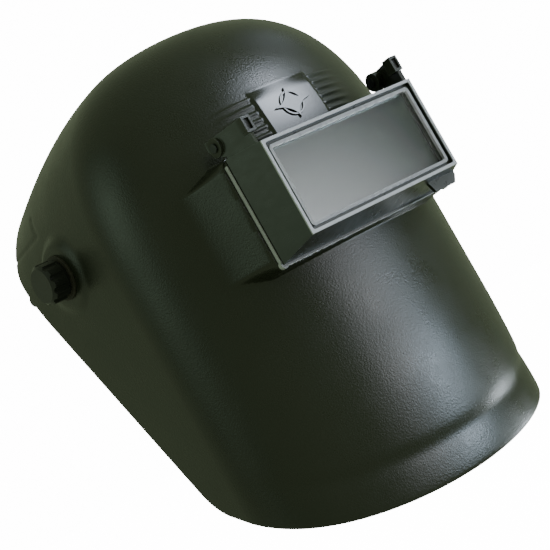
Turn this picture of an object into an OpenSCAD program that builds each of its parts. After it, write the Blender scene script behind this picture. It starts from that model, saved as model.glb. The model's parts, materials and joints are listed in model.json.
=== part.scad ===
// Welding helmet with a tilting shell and a filter front that lifts on its own hinge.
// +Z is up and the wearer looks along -Y. The origin is the middle of the side-pivot line.
// All sizes are in millimetres.

/* [Shell] */
// Greatest half width of the shell, reached at its side walls
shell_half_width = 111; // [110.5:0.25:112]
// Distance from the pivot line to the front of the shell
shell_front = 128; // [126:0.5:130]
// Height of the crown above the pivot line
crown_top = 96; // [95:0.5:100]
// Depth of the chin below the pivot line
chin_drop = 210; // [200:1:216]
// Thickness of the moulded wall
shell_wall = 2.5; // [2.2:0.1:3]

/* [Window] */
// Width of the standard filter glass
filter_width = 108; // [107:0.5:108.5]
// Height of the standard filter glass
filter_height = 51; // [50:0.5:51.5]
// Width of the lift front's face
front_width = 117; // [116:0.5:119]
// Height of the lift front's face
front_height = 56; // [56:0.5:58]
// Distance the lift front's face stands ahead of the shell
window_reach = 30; // [29:0.5:32]
// Height of the window's centre below the pivot line
window_drop = 29; // [27:0.5:31]

/* [Side pivots] */
// Radius of the pivot bolts
bolt_radius = 3; // [2.9:0.05:3.1]
// Radius of the side knobs
knob_radius = 12.5; // [11:0.5:15]
// Largest tilt of the shell
tilt_travel = 62; // [50:1:62]

/* [Headgear] */
// Inner radius of the headband's front and rear arcs
band_radius = 76; // [76:0.25:76.5]
// Half length of the headband's straight sides
band_side = 14; // [12:1:14]
// Backward slope of the headband
band_tilt = 20; // [18:1:22]
// Rise of the head straps above the pivot line
strap_rise = 80; // [76:1:81]

/* [Hidden] */
$fn = 64;

// Clearance round a part that turns on or slides in another
running_gap = 0.06;
// Clearance between parts that are stacked and held still
seat_gap = 0.1;
// Distance a cutting solid runs past the face it opens
cut_over = 1;

// Shell shape
brow_z = -28;
side_y = -48;
rear_y = 58.5;
dome_power = 2.75;
crown_fall = 21.6;
chin_tuck = 12;
chin_start_z = -122;
rear_corner = [rear_y, 19];
knee_corner = [-24, -162];
rear_corner_radius = 26;
// Thumb lug on the rear edge, just below its corner
edge_lug = [51, 1.5];
edge_lug_radius = 3.8;
knee_corner_radius = 40;
// Share of each row that runs along the straight side wall
side_share = 0.4;
barrel_rows = 5;
dome_rows = 13;
front_rows = 8;
chin_rows = 6;
curve_columns = 15;
side_columns = 6;

// Window stack, as depths behind the lift front's face
rim_width = 1.8;
rim_depth = 3.2;
bezel_front = 1.2;
bezel_width = 1.9;
sight_width = 106;
sight_height = 45;
glass_start = 4.4;
glass_end = 12;
front_depth = 24.4;
front_flare = 7.75;
front_growth = 8;
back_drop = 1.5;
front_skin = 2;
sleeve_start = 17;
sleeve_wall = 1.4;
ledge_start = 18.5;
pocket_start = 20.5;
flange_start = 25;
flange_end = 27.3;
flange_width = 134.5;
flange_height = 66;
flange_drop = 2;
flange_radius = 5;
glass_gap = 0.6;
cover_thickness = 1;
gasket_thickness = 1;
glass_thickness = 3;
clear_thickness = 2;
screw_radius = 1.25;
screw_head_radius = 2.4;
screw_x = 60.5;
screw_z = 25;

// Lift hinge
hinge_depth = 27;
hinge_height = 39;
hinge_pin_radius = 1.9;
hinge_eye_radius = 5.5;
lug_inner_x = 57.6;
lug_outer_x = 61.2;
eye_inner_x = 62;
eye_outer_x = 66.9;
cheek_angle = 15.5;
cheek_thickness = 2.4;

// Side pivot stack, as distances from the middle plane
arm_inner_x = 99.1;
arm_outer_x = 102.6;
plate_outer_x = 104.7;
pad_inner_x = 105;
pad_outer_x = 112;
washer_outer_x = 113.2;
pad_radius = 18;
stop_pin_radius = 2;
stop_pin_orbit = 14.5;
// Angle of the stop pin below the horizontal when the shell is down
stop_pin_angle = -59;
peg_orbit = 9;

// Headgear
band_thickness = 1.8;
band_height = 28;
strap_thickness = 1.4;
strap_width = 18;
rear_strap_lean = 52;
tail_height = 18;
tail_drop = 6;
tail_thickness = 1.6;
left_tail_radius = 78.2;
right_tail_radius = 80.2;
gear_teeth = 8;
gear_module = 1.2;
gear_pressure = 30;
gear_radius = gear_teeth*gear_module/2;
rack_pitch = PI*gear_module;
backlash = 0.25;
shaft_radius = 2.5;

// ---------- general helpers ----------

// One side of a symmetric pair: 1 is the wearer's left, -1 the wearer's right
module on_side(side) {
    if (side > 0) children();
    else mirror([1, 0, 0]) children();
}

// A round bar along X
module rod(radius, from_x, to_x) {
    translate([from_x, 0, 0])
        rotate([0, 90, 0])
            cylinder(r = radius, h = to_x - from_x);
}

// A flat outline in the side view, given thickness along X
module side_plate(from_x, to_x) {
    translate([from_x, 0, 0])
        rotate([90, 0, 90])
            linear_extrude(to_x - from_x) children();
}

// A rectangle with rounded corners about the origin
module rounded_rectangle(width, height, radius) {
    square([width - 2*radius, height], center = true);
    square([width, height - 2*radius], center = true);
    for (x = [-1, 1], y = [-1, 1])
        translate([x*(width/2 - radius), y*(height/2 - radius)]) circle(radius);
}

// An upright rounded slab between two depths
module slab(width, height, radius, from_y, to_y) {
    translate([0, to_y, 0])
        rotate([90, 0, 0])
            linear_extrude(to_y - from_y) rounded_rectangle(width, height, radius);
}

// A four-sided tapering block between two upright rectangles
module taper(front, back) {
    function ring(r) = [for (c = [[-1, -1], [1, -1], [1, 1], [-1, 1]])
        [c[0]*r[0]/2, r[3], r[2] + c[1]*r[1]/2]];
    polyhedron(
        points = concat(ring(front), ring(back)),
        faces = [[0, 3, 2, 1], [4, 5, 6, 7], [0, 1, 5, 4], [1, 2, 6, 5], [2, 3, 7, 6], [3, 0, 4, 7]]);
}

// A part of a ring about Z, between two angles
module arc_wall(inner, outer, low_z, high_z, from_angle, to_angle) {
    rotate([0, 0, from_angle])
        rotate_extrude(angle = to_angle - from_angle)
            translate([inner, low_z]) square([outer - inner, high_z - low_z]);
}

// ---------- shell ----------

function share_of(part, whole) = max(0, part)/whole;
function dome_rise(y) = crown_top - brow_z - crown_fall*pow(share_of(y - side_y, rear_y - side_y), 2);
function front_line(z) =
    -shell_front + chin_tuck*pow(share_of(chin_start_z - z, chin_start_z + chin_drop), 2);

// Half width of the outer surface over a point of the side view
function half_width_at(y, z) =
    let (up = min(1, share_of(z - brow_z, dome_rise(y))))
    let (ahead = share_of(side_y - y, side_y - front_line(z)))
    shell_half_width*sqrt(max(0, pow(1 - pow(up, dome_power), 2/dome_power) - ahead*ahead));

// The surface's line in the middle plane, from the rear of the crown to the chin
function dome_point(angle) =
    let (reach = 1/pow(pow(sin(angle), dome_power) + pow(cos(angle), dome_power), 1/dome_power))
    [side_y - (side_y + shell_front)*reach*cos(angle), brow_z + (crown_top - brow_z)*reach*sin(angle)];
centre_line = concat(
    [for (i = [0:barrel_rows - 1]) let (y = rear_y - (rear_y - side_y)*i/barrel_rows)
        [y, brow_z + dome_rise(y)]],
    [for (i = [0:dome_rows - 1]) dome_point(90*(1 - i/dome_rows))],
    [for (i = [0:front_rows - 1]) [-shell_front, brow_z - (brow_z - chin_start_z)*i/front_rows]],
    [for (i = [0:chin_rows]) let (z = chin_start_z - (chin_start_z + chin_drop)*i/chin_rows)
        [front_line(z), z]]);
rows = len(centre_line);

// A rounded corner between the directions of two other points
function corner_arc(corner, before, after, radius) =
    let (a = (before - corner)/norm(before - corner), b = (after - corner)/norm(after - corner))
    let (half = acos(a*b)/2, middle = corner + (a + b)/norm(a + b)*radius/sin(half))
    let (start = corner + a*radius/tan(half) - middle, end = corner + b*radius/tan(half) - middle)
    let (start_angle = atan2(start[1], start[0]), turn = atan2(end[1], end[0]) - start_angle)
    let (short_turn = turn > 180 ? turn - 360 : turn < -180 ? turn + 360 : turn)
    [for (i = [0:8]) middle + radius*[cos(start_angle + short_turn*i/8), sin(start_angle + short_turn*i/8)]];

crown_end = centre_line[0];
chin_end = centre_line[rows - 1];
rear_arc = corner_arc(rear_corner, crown_end, knee_corner, rear_corner_radius);
knee_arc = corner_arc(knee_corner, rear_corner, chin_end, knee_corner_radius);
crown_edge = concat([for (i = [4:-1:0]) rear_arc[i]], [crown_end]);
side_edge = concat([for (i = [4:8]) rear_arc[i]], [for (i = [0:4]) knee_arc[i]]);
chin_edge = concat([for (i = [4:8]) knee_arc[i]], [chin_end]);

// The point at a share of a path's length
function path_length(path, last) =
    last == 0 ? 0 : path_length(path, last - 1) + norm(path[last] - path[last - 1]);
function along(path, share) =
    let (target = share*path_length(path, len(path) - 1))
    let (leg = max([for (i = [0:len(path) - 2]) if (path_length(path, i) <= target) i]))
    let (start = path_length(path, leg), end = path_length(path, leg + 1))
    path[leg] + (path[leg + 1] - path[leg])*min(1, (target - start)/(end - start));

// How far each column lies from the rear edge towards the middle plane, from 1 down to 0
column_shares = concat(
    [for (i = [0:curve_columns]) side_share + (1 - side_share)*cos(90*i/curve_columns)],
    [for (i = [1:side_columns]) side_share*(1 - i/side_columns)]);
half_columns = len(column_shares) - 1;
columns = 2*half_columns + 1;
crown_points = [for (s = column_shares) along(crown_edge, s)];
chin_points = [for (s = column_shares) along(chin_edge, s)];
side_points = [for (i = [0:rows - 1]) along(side_edge, i/(rows - 1))];

// Side-view position of a row and column, blended from the four edges of the half shell
function side_view(i, j) =
    let (t = i/(rows - 1), s = column_shares[j])
    (1 - t)*crown_points[j] + t*chin_points[j] + (1 - s)*side_points[i] + s*centre_line[i]
        - (1 - t)*(1 - s)*side_points[0] - (1 - t)*s*crown_end
        - t*(1 - s)*side_points[rows - 1] - t*s*chin_end;
half_grid = [for (i = [0:rows - 1]) [for (j = [0:half_columns])
    let (q = side_view(i, j)) [j == 0 ? 0 : half_width_at(q[0], q[1]), q[0], q[1]]]];
outer_grid = [for (i = [0:rows - 1]) [for (j = [-half_columns:half_columns])
    let (p = half_grid[i][abs(j)]) [j < 0 ? -p[0] : p[0], p[1], p[2]]]];

// The inner surface lies one wall thickness in along the surface's normal
function normal_at(i, j) =
    let (down = outer_grid[min(rows - 1, i + 1)][j] - outer_grid[max(0, i - 1)][j])
    let (across = outer_grid[i][min(columns - 1, j + 1)] - outer_grid[i][max(0, j - 1)])
    let (n = cross(down, across)) n/norm(n);
inner_grid = [for (i = [0:rows - 1]) [for (j = [0:columns - 1])
    outer_grid[i][j] - shell_wall*normal_at(i, j)]];

module shell_skin() {
    count = rows*columns;
    function at(i, j) = i*columns + j;
    function two(a, b, c, d) = [[a, b, c], [a, c, d]];
    faces = concat(
        [for (i = [0:rows - 2], j = [0:columns - 2])
            each two(at(i, j), at(i, j + 1), at(i + 1, j + 1), at(i + 1, j))],
        [for (i = [0:rows - 2], j = [0:columns - 2])
            each two(count + at(i + 1, j), count + at(i + 1, j + 1),
                count + at(i, j + 1), count + at(i, j))],
        [for (j = [0:columns - 2])
            each two(at(0, j + 1), at(0, j), count + at(0, j), count + at(0, j + 1))],
        [for (j = [0:columns - 2], i = rows - 1)
            each two(at(i, j), at(i, j + 1), count + at(i, j + 1), count + at(i, j))],
        [for (i = [0:rows - 2])
            each two(at(i, 0), at(i + 1, 0), count + at(i + 1, 0), count + at(i, 0))],
        [for (i = [0:rows - 2], j = columns - 1)
            each two(at(i + 1, j), at(i, j), count + at(i, j), count + at(i + 1, j))]);
    polyhedron(points = concat([for (row = outer_grid) each row], [for (row = inner_grid) each row]),
        faces = faces);
}

// Moves a window part from its own depths and heights to its place on the shell
module in_window() {
    translate([0, -shell_front - window_reach, -window_drop]) children();
}

module screw_places() {
    for (x = [-1, 1], z = [-1, 1])
        translate([x*screw_x, 0, z*screw_z - flange_drop]) rotate([-90, 0, 0]) children();
}

// The raised seat under the housing's flange; its back end follows the middle of the shell's wall
module window_collar() {
    collar_margin = 3.5;
    collar_back = 50;
    difference() {
        in_window() translate([0, 0, -flange_drop - 1])
            slab(flange_width + 2*collar_margin, flange_height + collar_margin, flange_radius + 2,
                flange_end + seat_gap, collar_back);
        translate([0, side_y, -shell_front])
            linear_extrude(2*shell_front)
                polygon([for (a = [180:5:360])
                    [(shell_half_width - shell_wall/2)*cos(a),
                     (shell_front + side_y - shell_wall/2)*sin(a)]]);
    }
}

module shell() {
    opening_width = 113;
    opening_height = 56;
    opening_drop = 1;
    pilot_radius = screw_radius + 0.02;
    color("#1b1f1e") difference() {
        union() {
            shell_skin();
            window_collar();
            for (side = [-1, 1]) on_side(side) {
                rod(pad_radius, pad_inner_x, pad_outer_x);
                side_plate(shell_half_width - 5, shell_half_width - 1.6)
                    translate(edge_lug) circle(edge_lug_radius);
                rotate([stop_pin_angle, 0, 0]) translate([0, stop_pin_orbit, 0])
                    rod(stop_pin_radius, arm_outer_x + 0.3, pad_inner_x + cut_over);
            }
        }
        in_window() {
            translate([0, 0, -opening_drop]) slab(opening_width, opening_height, 3, 0, 60);
            screw_places() cylinder(r = pilot_radius, h = 38, $fn = 24);
        }
        for (side = [-1, 1]) on_side(side)
            rod(bolt_radius + running_gap, pad_inner_x - cut_over, pad_outer_x + cut_over);
    }
}

// ---------- fixed window housing ----------

// Side-view place of the lift hinge
module at_hinge() {
    translate([0, hinge_depth, hinge_height]) children();
}

// Upright on the flange's top edge that carries the hinge pin
module hinge_lug() {
    foot_z = 28;
    side_plate(lug_inner_x, lug_outer_x)
        polygon([[flange_start, foot_z], [flange_end, foot_z], [flange_end, 32.4],
            [hinge_depth + 4.5, hinge_height - 3], [hinge_depth, hinge_height], [flange_start, 33.9]]);
    at_hinge() rod(hinge_eye_radius, lug_inner_x, lug_outer_x);
}

// Flange on the shell with a sleeve inside the lift front; the clear lens drops in from behind
module lens_housing() {
    pocket_width = filter_width + glass_gap;
    pocket_height = filter_height + glass_gap;
    ledge_width = 103;
    ledge_height = 46;
    nub_radius = 2.4;
    nub_inset = 1.7;
    nub_x = flange_width/2 - nub_inset;
    nub_z = nub_inset - flange_height/2 - flange_drop;
    color("#202423") in_window() difference() {
        union() {
            slab(pocket_width + 2*sleeve_wall, pocket_height + 2*sleeve_wall, 2,
                sleeve_start, flange_start + 0.5);
            translate([0, 0, -flange_drop])
                slab(flange_width, flange_height, flange_radius, flange_start, flange_end);
            for (side = [-1, 1]) on_side(side) {
                hinge_lug();
                translate([nub_x, flange_end, nub_z])
                    rotate([90, 0, 0]) cylinder(r = nub_radius, h = flange_end - flange_start + 0.4);
            }
        }
        slab(pocket_width, pocket_height, 1, sleeve_start - cut_over, ledge_start);
        slab(ledge_width, ledge_height, 3, ledge_start - cut_over, pocket_start + cut_over);
        slab(pocket_width, pocket_height, 1, pocket_start, flange_end + cut_over);
        screw_places() cylinder(r = screw_radius + 0.1, h = flange_end + cut_over, $fn = 24);
        at_hinge() for (side = [-1, 1]) on_side(side)
            rod(hinge_pin_radius + 0.03, lug_inner_x - cut_over, lug_outer_x + cut_over);
    }
}

// Pan-head screws with a cross recess
module housing_screws() {
    head_height = 1.5;
    shank_length = 10;
    color("#3a3d3d") in_window() screw_places() difference() {
        union() {
            translate([0, 0, flange_start - head_height])
                cylinder(r = screw_head_radius, h = head_height - 0.05, $fn = 32);
            translate([0, 0, flange_start - 0.2])
                cylinder(r = screw_radius, h = shank_length, $fn = 24);
        }
        translate([0, 0, flange_start - head_height])
            for (turn = [0, 90]) rotate([0, 0, turn]) cube([3, 0.6, 1.4], center = true);
    }
}

module inner_lens() {
    front = pocket_start + seat_gap;
    color([0.8, 0.9, 0.9, 0.4]) in_window()
        slab(filter_width, filter_height, 1, front, front + clear_thickness);
}

// Spring wire loop that presses the clear lens on its ledge
module inner_lens_clip() {
    wire = 0.8;
    half_x = 49;
    half_z = 21;
    bend = 4;
    depth = pocket_start + clear_thickness + wire + 2*seat_gap;
    color("#b9bcc0") in_window() translate([0, depth, 0]) {
        for (z = [-1, 1]) translate([0, 0, z*half_z]) rod(wire, bend - half_x, half_x - bend);
        for (x = [-1, 1]) {
            translate([x*half_x, 0, bend - half_z]) cylinder(r = wire, h = 2*(half_z - bend));
            on_side(x) rod(wire, half_x, (filter_width + glass_gap)/2 - seat_gap);
            for (z = [-1, 1])
                translate([x*(half_x - bend), 0, z*(half_z - bend)])
                    rotate([90, 0, 0])
                        rotate([0, 0, z > 0 ? (x > 0 ? 0 : 90) : (x > 0 ? 270 : 180)])
                            rotate_extrude(angle = 90) translate([bend, 0]) circle(wire, $fn = 24);
        }
    }
}

module hinge_pins() {
    head_radius = 2.7;
    head_length = 1.1;
    tail_length = 1.2;
    color("#8d9196") in_window() at_hinge() for (side = [-1, 1]) on_side(side) {
        rod(hinge_pin_radius, lug_inner_x - 0.3, eye_outer_x + 0.3);
        rod(head_radius, eye_outer_x + seat_gap, eye_outer_x + head_length);
        rod(head_radius, lug_inner_x - tail_length, lug_inner_x - seat_gap);
    }
}

module hinge_washers() {
    color("#c9a46a") in_window() at_hinge() for (side = [-1, 1]) on_side(side) difference() {
        rod(hinge_eye_radius - 0.8, lug_outer_x + seat_gap, eye_inner_x - seat_gap);
        rod(hinge_pin_radius + 0.08, lug_outer_x, eye_inner_x);
    }
}

module friction_washers() {
    color("#7a4b32") for (side = [-1, 1]) on_side(side) difference() {
        rod(14, pad_outer_x + 0.05, washer_outer_x);
        rod(bolt_radius + 0.1, pad_outer_x - cut_over, washer_outer_x + cut_over);
    }
}

// ---------- lift front ----------

// Flared side plate that carries the front on its hinge pin; its outline is given in the side view
module cheek() {
    foot_z = 27;
    top_z = 44.2;
    tip_y = 3.2;
    function slanted(points) = [for (p = points) [p[0]/cos(cheek_angle), p[1]]];
    translate([front_width/2, 0, 0]) rotate([0, 0, -cheek_angle]) side_plate(-cheek_thickness, 0)
        polygon(slanted([[tip_y, foot_z], [tip_y, top_z], [hinge_depth + 5.2, top_z],
            [hinge_depth + 5.5, hinge_height], [hinge_depth, hinge_height - hinge_eye_radius],
            [front_depth - 1, 31.5], [front_depth - 1, foot_z]]));
    at_hinge() rod(hinge_eye_radius, eye_inner_x, eye_outer_x);
}

// Square socket at the cheek's front tip, open towards the front
socket_low_z = 35;
socket_high_z = 44.2;
socket_front = 2.6;
socket_back = 9;
socket_inner_x = 54.7;
socket_outer_x = 60.9;
socket_wall = 1.4;
module ear_socket() {
    translate([socket_inner_x, socket_front, socket_low_z])
        cube([socket_outer_x - socket_inner_x, socket_back - socket_front, socket_high_z - socket_low_z]);
}
module ear_pocket(from_y, to_y, gap) {
    translate([socket_inner_x + socket_wall + gap, from_y, socket_low_z + socket_wall + gap])
        cube([socket_outer_x - socket_inner_x - 2*(socket_wall + gap), to_y - from_y,
            socket_high_z - socket_low_z - 2*(socket_wall + gap)]);
}

// Finger tab that hangs below one end of the front
module finger_tab() {
    tab_start = 8;
    tab_thickness = 2.2;
    tab_low_z = -36.4;
    tab_root_z = -26;
    translate([0, tab_start + tab_thickness, 0]) rotate([90, 0, 0]) linear_extrude(tab_thickness)
        polygon([[37, tab_root_z], [41, tab_low_z], [57.5, tab_low_z], [60.5, -32], [60.5, tab_root_z]]);
}

// Box that widens backwards over the sleeve: glass pocket in front, hollow behind
module lift_front() {
    back_width = front_width + 2*front_flare;
    back_height = front_height + front_growth;
    hollow_width = back_width - 2*front_skin + 0.4;
    hollow_height = back_height - 2*front_skin + 0.4;
    color("#232726") in_window() difference() {
        union() {
            taper([front_width, front_height, 0, 0], [back_width, back_height, -back_drop, front_depth]);
            for (side = [-1, 1]) on_side(side) {
                cheek();
                ear_socket();
            }
            finger_tab();
        }
        slab(front_width - 2*rim_width, front_height - 2*rim_width, 1.5, -cut_over, rim_depth);
        slab(sight_width, sight_height, 2, 0, glass_end);
        slab(filter_width + glass_gap, filter_height + glass_gap, 1, glass_start, glass_end + cut_over);
        taper([front_width + 3, front_height, -back_drop/2, glass_end],
            [hollow_width, hollow_height, -back_drop, front_depth + cut_over]);
        for (side = [-1, 1]) on_side(side) {
            ear_pocket(0, 7, 0);
            at_hinge() rod(hinge_pin_radius + running_gap + 0.02, lug_outer_x, eye_outer_x + 2);
        }
    }
}

module window_bezel() {
    color("#4a5052") in_window() difference() {
        slab(sight_width + 2*bezel_width, sight_height + 2*bezel_width, 2.5, bezel_front, rim_depth - 0.05);
        slab(sight_width, sight_height, 1.5, 0, rim_depth);
    }
}

cover_start = glass_start + seat_gap;
gasket_start = cover_start + cover_thickness + seat_gap;
filter_start = gasket_start + gasket_thickness + seat_gap;
clip_start = filter_start + glass_thickness + seat_gap;

module cover_lens() {
    color([0.85, 0.9, 0.9, 0.35]) in_window()
        slab(filter_width, filter_height, 1, cover_start, cover_start + cover_thickness);
}

module lens_gasket() {
    color("#2b2b2b") in_window() difference() {
        slab(filter_width, filter_height, 1, gasket_start, gasket_start + gasket_thickness);
        slab(sight_width - 2, sight_height + 1, 2, 0, glass_end);
    }
}

module filter_lens() {
    color([0.05, 0.12, 0.07, 0.9]) in_window()
        slab(filter_width, filter_height, 1, filter_start, filter_start + glass_thickness);
}

// Sheet spring frame with a pull notch at each end
module filter_clip() {
    clip_thickness = 1;
    color("#9da1a5") in_window() difference() {
        slab(filter_width, filter_height, 1, clip_start, clip_start + clip_thickness);
        slab(sight_width - 6, sight_height - 2, 3, 0, glass_end);
        for (x = [-1, 1]) translate([x*filter_width/2, 0, 0]) slab(3.4, 9, 1.5, 0, glass_end);
    }
}

module ear_buffers() {
    color("#101010") in_window() for (side = [-1, 1]) on_side(side) ear_pocket(4, 6.9, 0.05);
}

// ---------- side pivots ----------

module pivot_knob(side) {
    nut_pocket_radius = 5.55;
    grips = 10;
    knob_top_x = 126.5;
    color("#161818") on_side(side) difference() {
        union() {
            rod(knob_radius - 1.5, washer_outer_x + seat_gap, washer_outer_x + 3);
            rod(knob_radius, washer_outer_x + 2.5, knob_top_x - 2);
            translate([knob_top_x - 2, 0, 0])
                rotate([0, 90, 0]) cylinder(r1 = knob_radius, r2 = knob_radius - 2, h = 2);
        }
        for (i = [0:grips - 1]) rotate([i*360/grips, 0, 0]) translate([0, knob_radius + 1.6, 0])
            rod(2.8, washer_outer_x + 2, knob_top_x + cut_over);
        rod(nut_pocket_radius, washer_outer_x, 121.1);
    }
}
module pivot_knob_left() pivot_knob(1);
module pivot_knob_right() pivot_knob(-1);

module knob_nut(side) {
    color("#b8934a") on_side(side) difference() {
        rod(5.5, washer_outer_x + 0.6, 121);
        rod(bolt_radius + running_gap, washer_outer_x, 122);
    }
}
module knob_nut_left() knob_nut(1);
module knob_nut_right() knob_nut(-1);

// Bolts fixed in the side arms, heads inside
module pivot_bolts() {
    head_radius = 6;
    head_height = 3;
    color("#a6a9ad") for (side = [-1, 1]) on_side(side) {
        rod(bolt_radius, arm_inner_x - 1, 120);
        translate([arm_inner_x - seat_gap - head_height, 0, 0])
            rotate([0, 90, 0]) cylinder(r = head_radius, h = head_height, $fn = 6);
    }
}

// Plate with the curved slot the shell's stop pin runs in, and a lever tail bent in behind the shell's edge
module stop_plate(side) {
    slot_gap = 0.3;
    end_gap = 1;
    tail_angle = -19;
    tail_half_width = 5;
    tail_bend = 22;
    tail_tip = 58;
    tip_outer_x = 94.3;
    slot_half = stop_pin_radius + slot_gap;
    color("#2b2e30") on_side(side) difference() {
        union() {
            rod(pad_radius + 1, arm_outer_x + seat_gap, plate_outer_x);
            rotate([tail_angle, 0, 0]) intersection() {
                translate([0, 0, -tail_half_width]) linear_extrude(2*tail_half_width)
                    polygon([[arm_outer_x + seat_gap, 0], [plate_outer_x, 0], [plate_outer_x, tail_bend],
                        [tip_outer_x, tail_tip], [tip_outer_x - 2, tail_tip],
                        [arm_outer_x + seat_gap, tail_bend + 1]]);
                side_plate(tip_outer_x - 3, plate_outer_x + cut_over) {
                    translate([0, -tail_half_width]) square([tail_tip - tail_half_width, 2*tail_half_width]);
                    translate([tail_tip - tail_half_width, 0]) circle(tail_half_width);
                }
            }
            translate([0, 0, peg_orbit]) rod(1.8, arm_outer_x - 2, arm_outer_x + cut_over);
        }
        rod(bolt_radius + 0.1, arm_outer_x - cut_over, plate_outer_x + cut_over);
        translate([arm_outer_x, 0, 0]) rotate([90, 0, 90])
            rotate([0, 0, stop_pin_angle - tilt_travel - end_gap])
                rotate_extrude(angle = tilt_travel + 2*end_gap)
                    translate([stop_pin_orbit - slot_half, 0]) square([2*slot_half, 3]);
        for (angle = [stop_pin_angle + end_gap, stop_pin_angle - tilt_travel - end_gap])
            rotate([angle, 0, 0]) translate([0, stop_pin_orbit, 0])
                rod(slot_half, arm_outer_x, plate_outer_x + cut_over);
    }
}
module stop_plate_left() stop_plate(1);
module stop_plate_right() stop_plate(-1);

// ---------- headgear ----------

band_outer = band_radius + band_thickness;
module in_band() {
    rotate([-band_tilt, 0, 0]) children();
}
// The centres of the front and rear arcs of the headband
module at_front_arc() {
    translate([0, -band_side, 0]) children();
}
module at_rear_arc() {
    translate([0, band_side, 0]) children();
}

// Feet of the side arms on the headband
foot_low_angle = 18;
foot_high_angle = 33;
foot_outer = band_outer + 2.6;
peg_radius = 2;
peg_hole_radius = 2.05;
peg_head_radius = 3.6;

// Round bars through each foot and the headband behind it
module foot_pegs(radius, from_radius, to_radius) {
    for (end = [0, 1]) mirror([0, end, 0]) at_rear_arc()
        rotate([0, 0, (foot_low_angle + foot_high_angle)/2 - 1])
            rod(radius, band_outer + from_radius, band_outer + to_radius);
}

// Bracket between the headband and a pivot: a hub plate, two splayed legs and two curved feet
module side_arm(side) {
    hub_half_length = 20;
    hub_half_height = 12;
    leg_half_height = 9;
    leg_root = 17;
    leg_corner = 22;
    tip_angle = foot_high_angle - 1;
    function tip(radius) = [radius*cos(tip_angle), band_side + radius*sin(tip_angle)];
    color("#33373a") on_side(side) difference() {
        in_band() {
            translate([arm_inner_x, -hub_half_length, -hub_half_height])
                cube([arm_outer_x - arm_inner_x, 2*hub_half_length, 2*hub_half_height]);
            for (end = [0, 1]) mirror([0, end, 0]) {
                translate([0, 0, -leg_half_height]) linear_extrude(2*leg_half_height)
                    polygon([[arm_inner_x, leg_root], [arm_outer_x, leg_root], [arm_outer_x, leg_corner],
                        tip(foot_outer + 2), tip(band_outer + 0.5)]);
                at_rear_arc() arc_wall(band_outer + seat_gap, foot_outer, -leg_half_height,
                    leg_half_height, foot_low_angle, foot_high_angle);
            }
        }
        rod(bolt_radius + 0.05, arm_inner_x - cut_over, arm_outer_x + cut_over);
        for (turn = [-24, 0, 24]) rotate([turn, 0, 0]) translate([0, 0, peg_orbit])
            rod(1.9, arm_inner_x - cut_over, arm_outer_x + cut_over);
        in_band() {
            foot_pegs(peg_hole_radius, 0, foot_outer - band_outer + cut_over);
            foot_pegs(peg_head_radius + 0.3, foot_outer - band_outer - 0.3, 14);
        }
    }
}
module side_arm_left() side_arm(1);
module side_arm_right() side_arm(-1);

module headband() {
    rear_end_angle = 62;
    rear_half_height = 11;
    color("#2a2e31") difference() {
        in_band() {
            at_front_arc() arc_wall(band_radius, band_outer, -band_height/2, band_height/2, 180, 360);
            for (side = [-1, 1]) on_side(side) {
                translate([band_radius, -band_side, -band_height/2])
                    cube([band_thickness, 2*band_side, band_height]);
                at_rear_arc() arc_wall(band_radius, band_outer, -rear_half_height, rear_half_height,
                    0, rear_end_angle);
            }
        }
        for (side = [-1, 1]) on_side(side) {
            in_band() foot_pegs(peg_hole_radius, -3, 2);
            strap_foot_places() rod(peg_hole_radius, band_radius - cut_over, band_outer + cut_over);
        }
    }
}

module band_pegs() {
    color("#15171a") in_band() for (side = [-1, 1]) on_side(side) {
        foot_pegs(peg_radius, -band_thickness + 0.1, foot_outer - band_outer + 0.2);
        foot_pegs(peg_head_radius, foot_outer - band_outer - 0.2, foot_outer - band_outer + 1.2);
    }
}

module sweatband() {
    pad_thickness = 5;
    pad_half_height = 15;
    color("#3c4246") in_band() at_front_arc()
        arc_wall(band_radius - pad_thickness, band_radius - seat_gap, -pad_half_height, pad_half_height,
            205, 335);
}

// An elliptical strap over the head, which starts above the headband
strap_inner_x = band_outer + seat_gap;
tab_length = 9;
crown_straight = 20;
rear_straight = 32;
module hoop(inner_x, inner_z, from_z, to_angle) {
    step = 5;
    angles = [for (a = [0:step:to_angle]) a];
    turns = len(angles) - 1;
    rise = inner_z - from_z;
    translate([0, strap_width, from_z]) rotate([90, 0, 0]) linear_extrude(strap_width)
        polygon(concat(
            [for (a = angles) [inner_x*cos(a), rise*sin(a)]],
            [for (i = [turns:-1:0])
                [(inner_x + strap_thickness)*cos(angles[i]), (rise + strap_thickness)*sin(angles[i])]]));
}
// Straight end of a strap, which runs down beside the headband
module strap_tab(inner_x, to_z) {
    translate([inner_x, 0, -tab_length]) cube([strap_thickness, strap_width, tab_length + to_z]);
}

// The crown strap crosses the band just ahead of the pivots, the rear strap just behind them
module at_crown_strap() {
    translate([0, -strap_width, 0]) children();
}
module at_rear_strap() {
    rotate([-rear_strap_lean, 0, 0]) translate([0, 2, 0]) children();
}
module crown_peg_places() {
    for (x = [-8, 8]) translate([x, strap_width/2, 0]) children();
}
module strap_foot_places() {
    at_crown_strap() translate([0, strap_width/2 - 2, 0]) children();
    at_rear_strap() translate([0, strap_width/2 - 2, 0]) children();
}

// Half of the crown strap; the two halves overlap at the top, where pegs join them
module crown_strap(lift) {
    overlap_angle = 105;
    spare_holes = [-20, -8, 8, 20];
    color("#b9bdbf") at_crown_strap() difference() {
        union() {
            hoop(strap_inner_x, strap_rise + lift, crown_straight, overlap_angle);
            strap_tab(strap_inner_x, crown_straight);
        }
        for (x = spare_holes) translate([x, strap_width/2, strap_rise - 4])
            cylinder(r = 2.1, h = 12, $fn = 32);
        translate([0, strap_width/2 - 2, 0]) rod(2.1, strap_inner_x - cut_over, strap_inner_x + 3);
    }
}
module crown_strap_left() crown_strap(0);
module crown_strap_right() mirror([1, 0, 0]) crown_strap(1.7);

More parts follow.
